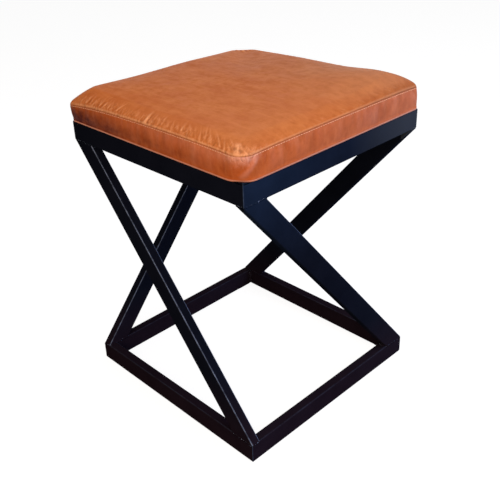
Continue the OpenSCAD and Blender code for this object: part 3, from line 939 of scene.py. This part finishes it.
# Painted shade along the seam's edge, except at the front right corner, and in crease furrows.
edge_dark = 0.03 * np.exp(-top_insets / 0.6) * (1 - round_front_right(around, 9))
tucked += np.maximum(np.clip(-creases * 0.9, 0, 0.5), edge_dark)
# The hidden under side is painted fully shaded, and the lip in the seam's groove a little.
tuck[:in_seam] = 1.0
tuck[in_seam - len(lip_turn):in_seam] = 0.12 * (1 - round_front_right(around, 12))
gathered += fullness * np.exp(-(top_insets / 13) ** 2)
gathered += 0.5 * round_front_right(around, 18) * np.exp(-(top_insets / 16) ** 2)
points, faces = shell_with_poles(top_shell)
seat_top = add_piece(
    "leather_top", points, faces, top_hide, "seat_leather",
    pull=with_poles(pull), tuck=with_poles(tuck), wax=with_poles(top_wax),
    gather=with_poles(np.minimum(gather, 1)))
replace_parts(seat_top, "cover_top")


# ---------------------------------------------------------------- cushion: leather band

BAND_BULGE = 1.0          # how far the band swells out between its seam and its foot
FOOT_FLARE = 0.9          # the rolled foot stands out over the ring
FOOT_ROLL = 1.7           # height of the roll
HAIR = 0.05               # what is kept between two pieces that touch
STITCH_DROP = 1.35        # topstitching under the seam
WALL_SLACK = 1.0          # further inset of the inner wall, clear of the dimples

# Rows of the band, as shares of the way down: close together at the seam and at the foot.
band_shares = np.r_[0.0, np.cumsum(np.r_[
    np.full(6, 0.55), np.full(25, 1.05), np.full(6, 0.6)])][:, None]
band_shares /= band_shares[-1]
band_low = RING_TOP + FOOT_ROLL


def ripple(along, waves, seed):
    """A smooth random curve round the seat: sines of the given wave counts, of unit size."""
    phase = np.random.default_rng(seed).uniform(0, 2 * np.pi, len(waves))
    turns = 2 * np.pi * along[..., None] / SEAM_LENGTH * waves + phase
    return np.sin(turns).sum(-1) / math.sqrt(len(waves) / 2)


def band_relief(along, share):
    """Relief of the band: upright pulls that are strongest near the seam, folds and dimples."""
    below = share * (seam_height(along) - band_low)
    pulls = 0.22 * ripple(along, np.arange(40, 110, 7), 5) * (1 - share) ** 1.5
    pulls = pulls + 0.25 * ripple(along, np.arange(9, 44, 5), 6) * np.sin(np.pi * share)
    folds = fold_height(along, below, band_folds) + dimple_height(along, below, band_dimples)
    return (pulls + folds) * np.minimum(1, below / 3)


def band_stand_out(along, share):
    """How far the band stands out from the plan, at a share of the way down from the seam.

    A swell between seam and foot, a flare at the foot, the relief, and a shallow channel under
    the topstitching.
    """
    below = share * (seam_height(along) - band_low)
    swell = BAND_BULGE * np.sin(np.pi * share) ** 0.8
    flare = FOOT_FLARE * np.exp(-((1 - share) * 31 / 2.6) ** 2)
    channel = 0.22 * np.exp(-((below - STITCH_DROP) / 0.7) ** 2)
    lean = corner_sum(along, SEAM_LEAN) * (1 - share)
    return lean + swell + flare + band_relief(along, share) - channel


band_height = seam_height(around)
band_rows = np.empty((len(band_shares), PLAN_COLUMNS, 3))
stand = band_stand_out(around, band_shares)
band_plan = plan + (foot_plan - plan) * band_shares[..., None]
band_rows[..., :2] = band_plan + stand[..., None] * plan_normal
band_rows[..., 2] = band_height - ROLL + (band_low - band_height + ROLL) * band_shares
band_rows += swell_of_band(around, band_shares)
band_rows = band_rows[::-1]

# Rows from the end of the turned-in margin, along the ring and out round the rolled foot.
foot_turn = np.radians(np.array([80, 60, 40, 20, 5]))
foot_inset = np.r_[MARGIN_W, 24.0, 14.0, 6.0, 2.6, 2.0 * np.sin(foot_turn)]
foot_lift = np.r_[np.full(5, HAIR), FOOT_ROLL - (FOOT_ROLL - HAIR) * np.cos(foot_turn)]
foot_rows = np.empty((len(foot_inset), PLAN_COLUMNS, 3))
foot_rows[...] = band_rows[0]
foot_rows[..., :2] -= foot_inset[:, None, None] * plan_normal
foot_rows[..., 2] = RING_TOP + foot_lift[:, None]
flare_out = np.minimum(foot_inset / 6, 1)[:, None]
foot_rows[..., :2] -= (stand[-1] * flare_out)[..., None] * plan_normal

# Rows over the lip at the seam, down the inner wall and in under the board.
lip_up = np.empty((len(lip_turn), PLAN_COLUMNS, 3))
lip_up[...] = band_rows[-1]
lip_up[..., :2] -= GROOVE * np.sin(lip_turn[::-1])[:, None, None] * plan_normal * seam_fade
lip_up[..., 2] += ROLL * (1 - np.cos(lip_turn[::-1]))[:, None]
inner_pick = np.array([36, 32, 27, 21, 15, 9, 3])
inner_wall = band_rows[inner_pick].copy()
inner_wall[..., :2] -= (LEATHER_T + WALL_SLACK) * plan_normal
turned_in = inner_wall[-1:].repeat(2, axis=0)
turned_in[..., :2] -= np.array([2.0, MARGIN_W])[:, None, None] * plan_normal
turned_in[..., 2] = BOARD_UNDER - HAIR
inside_rows = np.concatenate([lip_up, inner_wall, turned_in])
band_shell = np.concatenate([foot_rows, band_rows, inside_rows])

# Painted shade on the band: darker lower down, most round the front left corner and least
# on the right side.
BAND_SHADE = np.array([1.0, 0.95, 0.42, 0.26, 0.1, 0.0, 0.0, 0.02, 0.35, 0.4, 0.4, 0.7, 0.95])
waxing = np.interp(along_seam, FULL_AT, BAND_SHADE)
first = len(foot_rows)
last = first + len(band_rows)
share_up = band_shares[::-1]
under_seam = share_up * (band_height - band_low)
over_foot = (1 - share_up) * (band_height - band_low)
relief = band_relief(around, share_up)

# Each of these views is the outer face's part of an attribute.
pull, tuck, wax, gather = np.zeros((4, *band_shell.shape[:2]))
paled, tucked, waxed, gathered = [values[first:last] for values in (pull, tuck, wax, gather)]
# Painted highlights on the rolled foot, just under the seam and on what stands out.
paled += 0.75 * np.exp(-(over_foot / 0.5) ** 2)
paled += 0.2 * np.exp(-((under_seam - 0.7) / 0.7) ** 2)
paled += np.clip(relief, 0, 1.2) * 0.22 * (1 - waxing)
# A painted sheen pales the right side all over, and painted light the front's upper half
# towards the front right.
paled += np.interp(along_seam, [1.1, 1.5, 1.95, 2.1], [0, 0.07, 0.14, 0])
paled += np.interp(along_seam, [0.3, 0.6, 0.9, 1.0], [0, 0.13, 0.2, 0]) * np.exp(
    -(under_seam / 12) ** 2)
# Painted glare under the seam at the front right corner, and a fainter patch beside it.
for strength, place, width in ((0.8, 4, 15), (0.3, -17, 13)):
    paled += strength * np.exp(-(under_seam / 8) ** 2) * np.exp(
        -((from_corner(around, "front_right") - place) / width) ** 2)
# The turned foot is painted pale, for the highlight on its roll.
pull[:first] = 0.4
# Painted shade: darker down towards the foot, as far as the band's shade along the seam says.
lower = np.clip(share_up * 1.5, 0.01, 1) ** (1.9 - 1.5 * waxing)
waxed += waxing * lower * np.clip(over_foot / 1.2, 0, 1)
# Painted shade just under the seam, except at the front right corner, and in the relief's furrows.
tucked += 0.1 * np.exp(-under_seam / 0.6) * (1 - round_front_right(around, 9))
tucked += np.clip(-relief * 0.28, 0, 0.3)
# The inside is painted fully shaded, and the lip in the seam's groove a little.
tuck[last:] = 1.0
tuck[last:last + len(lip_turn)] = 0.12 * (1 - round_front_right(around, 12))
gathered += 1.2 * round_front_right(around, 19) * np.exp(-(under_seam / 11) ** 2)
gathered += 0.15 * np.exp(-(under_seam / 12) ** 2)
faces = grid_faces(*band_shell.shape[:2], close_rows=True).tolist()
seat_band = add_piece(
    "leather_band", band_shell.reshape(-1, 3), faces, band_hide, "seat_leather",
    pull=pull, tuck=tuck, wax=wax, gather=np.minimum(gather, 1))
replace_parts(seat_band, "cover_band")


# ---------------------------------------------------------------- cushion: topstitching

STITCH_PITCH = 4.5
STITCH_LENGTH = 3.6
THREAD_R = 0.38

stitch_count = int(SEAM_LENGTH / STITCH_PITCH)
stitch_t = np.linspace(-0.5, 0.5, 9)
stitch_place = np.arange(stitch_count) * SEAM_LENGTH / stitch_count
buried = np.abs(from_corner(stitch_place, "front_right")) < 8     # drawn into the gathers
stitch_along = stitch_place[~buried, None] + stitch_t * STITCH_LENGTH


def on_band(along, below, lift):
    """Points on the band, a length below the top of its lip and lifted off the leather."""
    share = below / (seam_height(along) - ROLL - band_low)
    row = np.interp(share, band_shares[:, 0], np.arange(len(band_shares)))
    column = along / SEAM_LENGTH * PLAN_COLUMNS
    outward = np.broadcast_to(plan_normal, (len(band_rows), *plan_normal.shape))
    found = sample(np.dstack([band_rows[::-1], outward]), row, column, wrap=True)
    point = found[..., :3]
    point[..., :2] += lift[..., None] * found[..., 3:]
    return point


stitch_lift = THREAD_R * (0.75 - 5.5 * stitch_t ** 2)
stitch_paths = on_band(stitch_along, STITCH_DROP - ROLL, stitch_lift)
stitch_radii = THREAD_R * np.array([0.45, 0.8, 0.97, 1, 1, 1, 0.97, 0.8, 0.45])
points, faces = many_tubes(stitch_paths, stitch_radii, 8)
add_piece("topstitching", points, faces, thread, "seat_leather")


# ---------------------------------------------------------------- foam, dust cover

FOAM_SLACK = 1.5          # left for the creases between leather and foam

foam_insets = np.r_[3.5, 4.5, 6, 8, 12, 17, 24, 36, 60, 100, 140, 170][:, None]
foam_along = plan_along[None, ::5]
foam_height = top_height(foam_along, foam_insets) - LEATHER_T - FOAM_SLACK
foam_top = drawn_in(rim[::5], foam_insets, SEAT_HALF, foam_height)
foam_top += swell_of_top(foam_along, foam_insets)
foam_sides = np.repeat(foam_top[:1], 6, axis=0)
share_up = np.linspace(0, 1, 6)[:, None]
foam_sides[..., 2] = BOARD_TOP + HAIR + (foam_top[0, :, 2] - 4 - BOARD_TOP) * share_up
foam_sides[-1, :, :2] *= 0.998      # the upper edge is eased
foam_under = foam_sides[:1] * [0.5, 0.5, 1.0]
foam_shell = np.concatenate([foam_under, foam_sides, foam_top[1:]])
points, faces = shell_with_poles(foam_shell)
foam_pad = add_piece("foam_pad", points, faces, foam, "foam")
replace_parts(foam_pad, "seat_foam")

DUST_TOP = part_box("dust_cover")[1].z / MM
DUST_T = 0.5
DUST_SAG = 1.6            # the loose middle hangs down a little
DUST_LOOSE_HALF = 122.0   # half the width of the loose middle
DUST_STAPLES = 5          # along each side
dust_plan, _, dust_along = seat_plan(SEAM_CUTS, 360, SEAT_HALF - DUST_HALF)
dust_insets = np.r_[0.0, 2, 4, 7, 11, 16, 24, 36, 52, 72, 96, 120, 140][:, None]
dust_low = drawn_in(dust_plan, dust_insets, DUST_HALF, DUST_TOP - DUST_T)
# One pucker to each staple.
round_dust = dust_along / (dust_along[-1] + dust_along[1])
pucker = 0.12 * np.sin(round_dust * (4 * DUST_STAPLES) * 2 * np.pi)
loose = np.clip((dust_insets - 8) / 20, 0, 1) * np.exp(-np.clip(dust_insets - 28, 0, 99) / 30)
bow = np.clip(1 - (dust_low[..., :2] / DUST_LOOSE_HALF) ** 2, 0, 1).prod(-1)
dust_low[..., 2] += loose * pucker - DUST_SAG * bow
dust_high = dust_low[::-1] + [0, 0, DUST_T]
points, faces = shell_with_poles(np.concatenate([dust_low[::-1], dust_high[::-1]]))
dust_cover = add_piece("dust_cover_cloth", points, faces, spunbond, "dust_cloth")
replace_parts(dust_cover, "dust_cover")


# ---------------------------------------------------------------- staples and screws

STAPLE_W = 10.0           # length of the crown
STAPLE_WIRE_R = 0.6       # half the width of the flat wire
STAPLE_FLAT = 0.5         # its thickness over its width
STAPLE_REACH = 104.0      # from the middle of a side to the last staples on it


def staple_rows(per_side, at, underside):
    """Paths of wire staples along the four sides, with their legs turned up into the board.

    Each path is a flat crown with a quarter-round bend and a short leg at either end. The
    crowns lie under the height underside and follow the side, evenly spaced, per_side of them,
    at the distance at from the seat's middle.
    """
    half = STAPLE_W / 2 - STAPLE_WIRE_R
    across = np.array([-1, -1, -0.985, -0.93, -0.85, -0.4, 0, 0.4, 0.85, 0.93, 0.985, 1, 1]) * half
    rise = np.array([2.0, 0.9, 0.45, 0.12, 0, 0, 0, 0, 0, 0.12, 0.45, 0.9, 2.0])
    place = np.linspace(-STAPLE_REACH, STAPLE_REACH, per_side)[:, None] + across
    skew = dice.uniform(-0.05, 0.05, (4, per_side, 1)) * across
    turn = np.arange(4)[:, None, None] * np.pi / 2
    x, y, z = np.broadcast_arrays(
        place, skew - at, underside - STAPLE_WIRE_R * STAPLE_FLAT + rise)
    paths = np.stack([
        x * np.cos(turn) - y * np.sin(turn), x * np.sin(turn) + y * np.cos(turn), z], -1)
    return paths.reshape(-1, len(across), 3)


def add_staples(name, node, paths):
    """Makes one row piece of staples in place of a node."""
    points, faces = many_tubes(paths, np.full(paths.shape[1], STAPLE_WIRE_R), 8, STAPLE_FLAT)
    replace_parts(add_piece(name, points, faces, zinc, "zinc_steel"), node)


add_staples("wire_staples_leather", "cover_staples",
            staple_rows(per_side=7, at=154.5, underside=RING_TOP))
add_staples("wire_staples_dust_cover", "dust_cover_staples",
            staple_rows(DUST_STAPLES, at=145.5, underside=DUST_TOP - DUST_T))

SCREW_AT = 132.0          # from the middle, both ways
SCREW_R = 2.0
SCREW_HEAD_R = 4.2
SCREW_HEAD_H = 2.6
SCREW_L = 15.0
RECESS_ARM = 2.1          # reach of the cross recess
RECESS_W = 0.5            # half the width of its arms
RECESS_DEPTH = 1.5


def pan_head_screws():
    """Four pan-head wood screws, driven up through the corner plates.

    A profile turned round the axis: shank with a conical tip, flat under the head, and a
    rounded head, into which a cross recess is pressed where x or y is small.
    """
    turn = np.arange(72) * 2 * np.pi / 72
    bend = np.radians(np.linspace(0, 90, 7))
    shank_r = np.array([0.3, 1.2, SCREW_R, SCREW_R, SCREW_R, SCREW_HEAD_R])
    shank_z = np.array([SCREW_L, SCREW_L - 2, SCREW_L - 4, 6.0, 0.0, 0.0])
    edge_r = SCREW_HEAD_R - 1.2 * (1 - np.cos(bend))
    edge_z = -(SCREW_HEAD_H - 1.5) - 1.2 * np.sin(bend)
    face_r = np.linspace(3.0, 0.05, 26)[1:]
    face_z = -SCREW_HEAD_H + 0.3 * (face_r / 3.0) ** 2
    radius = np.r_[shank_r, edge_r, face_r][:, None]
    height = np.r_[shank_z, edge_z, face_z][:, None]
    x, y = radius * np.cos(turn), radius * np.sin(turn)
    arm = np.minimum(np.abs(x), np.abs(y)) / RECESS_W
    pressed = np.clip(1.6 - arm, 0, 1) * np.clip((RECESS_ARM - radius) / 0.35, 0, 1)
    height = height + RECESS_DEPTH * pressed * (height < -2) * (1 - 0.35 * radius / RECESS_ARM)
    grid = np.stack([x, y, height + PLATE_UNDER], -1)
    points, faces = shell_with_poles(grid)
    copies = np.concatenate([
        points + [side_x * SCREW_AT, side_y * SCREW_AT, 0] for side_x in (-1, 1)
        for side_y in (-1, 1)])
    all_faces = [[i + k * len(points) for i in face] for k in range(4) for face in faces]
    return copies, all_faces


points, faces = pan_head_screws()
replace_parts(add_piece("pan_head_screws", points, faces, zinc, "zinc_steel"), "seat_screws")


# ---------------------------------------------------------------- welds

BEAD_LEG = 4.0            # leg length of a fillet bead
RIPPLE = 1.4              # pitch of its ripples
LEG_RUN = 310.61          # how far each edge of a leg runs along its side
LEG_CUT = FRAME_HALF * 2 - LEG_RUN     # length of a leg's cut end along the rail
LEG_SLOPE = 49.6          # angle between a leg and the rails


def around_four(points):
    """The same points turned to each of the four sides, as one stack."""
    turn = np.arange(4) * np.pi / 2
    x, y, z = points[..., 0], points[..., 1], points[..., 2]
    return np.stack([
        np.stack([x * np.cos(t) - y * np.sin(t), x * np.sin(t) + y * np.cos(t), z], -1)
        for t in turn])


def bars(sections):
    """Points and faces of closed bars: a stack of grids whose rows are cross-sections."""
    points, faces, count = [], [], 0
    for grid in sections:
        shell, shell_faces = shell_with_poles(grid)
        points.append(shell)
        faces += [[i + count for i in face] for face in shell_faces]
        count += len(shell)
    return np.concatenate(points), faces


def bead(start, along, face_a, face_b, length):
    """Cross-sections of a rippled fillet bead in the corner between two faces.

    face_a and face_b point from the corner along the faces. The bead's own face is a chord
    that swells by sin and carries ripples, and its ends taper.
    """
    t = np.linspace(0, 1, max(int(length / 0.35), 12))[:, None]
    size = BEAD_LEG * (1 - np.abs(2 * t - 1) ** 10 * 0.55)
    wave = 1 + 0.07 * np.abs(np.sin(np.pi * t * length / RIPPLE))
    u = np.linspace(0, 1, 7)
    mix_a, mix_b = (1 - u) * (1 + 0.25 * np.sin(np.pi * u)), u * (1 + 0.25 * np.sin(np.pi * u))
    crown = size * wave
    face = (crown * mix_a)[..., None] * face_a + (crown * mix_b)[..., None] * face_b
    corner = np.broadcast_to(-0.3 * (np.array(face_a) + face_b), face[:, :1].shape)
    ring = np.concatenate([corner, face], axis=1)
    return ring + start + (t * length)[..., None] * along


def seam_filler(y_face, y_in, z_joint, down, x_from, x_to):
    """Cross-sections of the filler that makes a leg flush with a rail.

    It fills the corner between the rail's rounded edge, a quarter circle of radius TUBE_R,
    and the leg's cut end, and stands a hair out of both.
    """
    t = np.linspace(0, 1, 60)[:, None]
    out = 0.06 + 0.05 * np.sin(t * 37) * np.sin(t * 11)
    bend = np.radians(np.array([0, 22, 45, 68, 90]))
    arc_y = TUBE_R * (1 - np.sin(bend[::-1]))
    arc_z = TUBE_R * (1 - np.cos(bend[::-1]))
    deep = np.tile(np.r_[0.15 + arc_y, TUBE_R * 0.9], (len(t), 1))
    inward = np.hstack([-out, deep, -out])
    upward = np.r_[TUBE_R * 1.1, 0.15 + arc_z, -0.2, -0.5]
    ring = np.stack(np.broadcast_arrays(
        x_from + (x_to - x_from) * t, y_face + y_in * inward, z_joint + down * upward), -1)
    return ring if (y_in > 0) == (down > 0) else ring[:, ::-1]


def leg_welds(z_joint, down, mirror):
    """A leg's welds at one end: a bead in the sharp corner, and fillers on its three faces."""
    toe = (FRAME_HALF - LEG_CUT) * mirror
    slope = math.radians(LEG_SLOPE)
    to_rail, to_leg = [-mirror, 0, 0], [-mirror * math.cos(slope), 0, -down * math.sin(slope)]
    across = TUBE_W - 2 * (TUBE_R + 1)
    run = bead([toe, -INNER_HALF - TUBE_R - 1, z_joint], [0, -1, 0], to_rail, to_leg, across)
    ends = sorted((toe, mirror * (FRAME_HALF - TUBE_R)))
    end_face = sorted((-mirror * (FRAME_HALF - TUBE_R), -mirror * (INNER_HALF + TUBE_R)))
    fillers = [
        seam_filler(-FRAME_HALF, 1, z_joint, down, *ends),
        seam_filler(-INNER_HALF, -1, z_joint, down, *ends),
        seam_filler(-FRAME_HALF, 1, z_joint, down, *end_face)]
    return [piece for grid in (run, *fillers) for piece in around_four(grid)]


def ring_welds(low, high):
    """Upright beads in the four inner corners of a ring."""
    run = bead([-INNER_HALF, -INNER_HALF, low], [0, 0, 1], [1, 0, 0], [0, 1, 0], high - low)
    return list(around_four(run))


WELDS = {
    "leg_top_welds": leg_welds(RING_UNDER, 1, -1),
    "leg_base_welds": leg_welds(BASE_TOP, -1, 1),
    "top_ring_welds": ring_welds(RING_UNDER + 3, PLATE_UNDER),
    "base_ring_welds": ring_welds(BASE_TOP - 27, BASE_TOP - 3)}
for node_name, grids in WELDS.items():
    points, faces = bars(grids)
    weld = add_piece("rippled_" + node_name, points, faces, weld_paint, "frame_paint")
    outward = bmesh.new()
    outward.from_mesh(weld.data)
    bmesh.ops.recalc_face_normals(outward, faces=outward.faces)
    outward.to_mesh(weld.data)
    outward.free()
    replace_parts(weld, node_name)


# ---------------------------------------------------------------- floor, light and camera

def seen_or_mirrored(tree):
    """A node that is 1 for rays from the camera, in reflections and through glass."""
    ray = add_node(tree, "LightPath").outputs
    mirrored = add_node(tree, "Math", {0: ray["Is Glossy Ray"], 1: ray["Is Transmission Ray"]},
                        operation="MAXIMUM")
    return add_node(tree, "Math", {0: ray["Is Camera Ray"], 1: mirrored}, operation="MAXIMUM")


def backdrop_material():
    """Pale matt floor: white to the camera and in reflections, with the object's shadow."""
    material, tree = new_material("pale_floor")
    matt = add_node(tree, "BsdfDiffuse", {"Color": colour("#acacaa")})
    faint = add_node(tree, "BsdfDiffuse", {"Color": colour("#7d7d7d")})
    glow = add_node(tree, "Emission", {"Strength": 0.92})
    shown = add_node(tree, "AddShader", {0: faint, 1: glow})
    mix = add_node(tree, "MixShader", {0: seen_or_mirrored(tree), 1: matt, 2: shown})
    # Looked at from underneath, the floor is left out, so that the underside can be seen.
    under = add_node(tree, "Math", {
        0: add_node(tree, "NewGeometry").outputs["Backfacing"],
        1: add_node(tree, "LightPath").outputs["Is Camera Ray"]}, operation="MULTIPLY")
    whole = add_node(tree, "MixShader", {
        0: under, 1: mix, 2: add_node(tree, "BsdfTransparent")})
    add_node(tree, "OutputMaterial", {"Surface": whole})
    return material


def add_lamp(name, place, target, size, power, tint):
    """A square soft box at place that faces target, in metres and watts."""
    lamp = bpy.data.lights.new(name, "AREA")
    lamp.shape = "RECTANGLE"
    lamp.size, lamp.size_y = size
    lamp.energy = power
    lamp.color = colour(tint)[:3]
    holder = bpy.data.objects.new(name, lamp)
    holder.location = place
    holder.rotation_euler = (Vector(target) - Vector(place)).to_track_quat("-Z", "Y").to_euler()
    holder.visible_camera = False
    bpy.context.scene.collection.objects.link(holder)


FLOOR_HALF = 9.0          # in metres, as the lamps' places are
FLOOR_LOW = -0.0001       # a hair under the pads
floor_mesh = bpy.data.meshes.new("floor")
floor_mesh.from_pydata(
    [(x * FLOOR_HALF, y * FLOOR_HALF, FLOOR_LOW)
     for x, y in ((-1, -1), (1, -1), (1, 1), (-1, 1))], [], [(0, 1, 2, 3)])
floor_mesh.materials.append(backdrop_material())
floor = bpy.data.objects.new("floor", floor_mesh)
bpy.context.scene.collection.objects.link(floor)

world = bpy.data.worlds.new("studio")
bpy.context.scene.world = world
world.use_nodes = True
world.node_tree.nodes.clear()
strength = add_node(world.node_tree, "MapRange", {
    "Value": seen_or_mirrored(world.node_tree), "To Min": 0.16, "To Max": 0.99})
sky = add_node(world.node_tree, "Background", {"Color": (1, 1, 1, 1), "Strength": strength})
add_node(world.node_tree, "OutputWorld", {"Surface": sky})

add_lamp("ceiling_box", (0.4, 0.4, 2.3), (0, 0, 0.4), (2.0, 2.0), 25, "#fff4e6")
add_lamp("window_box", (1.6, 1.05, 0.9), (0, 0, 0.35), (1.6, 1.4), 30.5, "#a8c4ff")
add_lamp("front_box", (0.8, -1.1, 1.0), (0, -0.1, 0.42), (1.2, 1.2), 15.8, "#ffe3cc")

CAMERA_TURN = 47.940      # round from the front, towards the right side
CAMERA_LIFT = 26.978      # above the horizon
CAMERA_ROLL = -2.968
CAMERA_AWAY = 1145.376    # from a point beside the stool's axis
CAMERA_SIDE = -38.391     # how far that point is to the right
CAMERA_HEIGHT = 260.352   # and how high
SENSOR = 36.0
PICTURE = 500             # width and height of the picture, in pixels
FOCAL = 745.719           # focal length, in pixels
AXIS_AT = (222, 219)      # where the camera's axis meets the picture, from its upper left

turn, lift_angle, roll = np.radians([CAMERA_TURN, CAMERA_LIFT, CAMERA_ROLL])
back = np.array([
    math.sin(turn) * math.cos(lift_angle), -math.cos(turn) * math.cos(lift_angle),
    math.sin(lift_angle)])
right = np.array([math.cos(turn), math.sin(turn), 0.0])
up = np.cross(back, right)
eye = (np.array([0, 0, CAMERA_HEIGHT]) + CAMERA_SIDE * right + CAMERA_AWAY * back) * MM
axes = np.eye(4)
axes[:3, 0] = math.cos(roll) * right + math.sin(roll) * up
axes[:3, 1] = -math.sin(roll) * right + math.cos(roll) * up
axes[:3, 2] = back
axes[:3, 3] = eye
camera_data = bpy.data.cameras.new("camera")
camera_data.sensor_width = SENSOR
camera_data.lens = FOCAL / PICTURE * SENSOR
camera_data.shift_x = (PICTURE / 2 - AXIS_AT[0]) / PICTURE
camera_data.shift_y = (AXIS_AT[1] - PICTURE / 2) / PICTURE
camera = bpy.data.objects.new("camera", camera_data)
camera.matrix_world = Matrix(axes.tolist())
bpy.context.scene.collection.objects.link(camera)
bpy.context.scene.camera = camera
bpy.context.scene.view_settings.view_transform = "Standard"
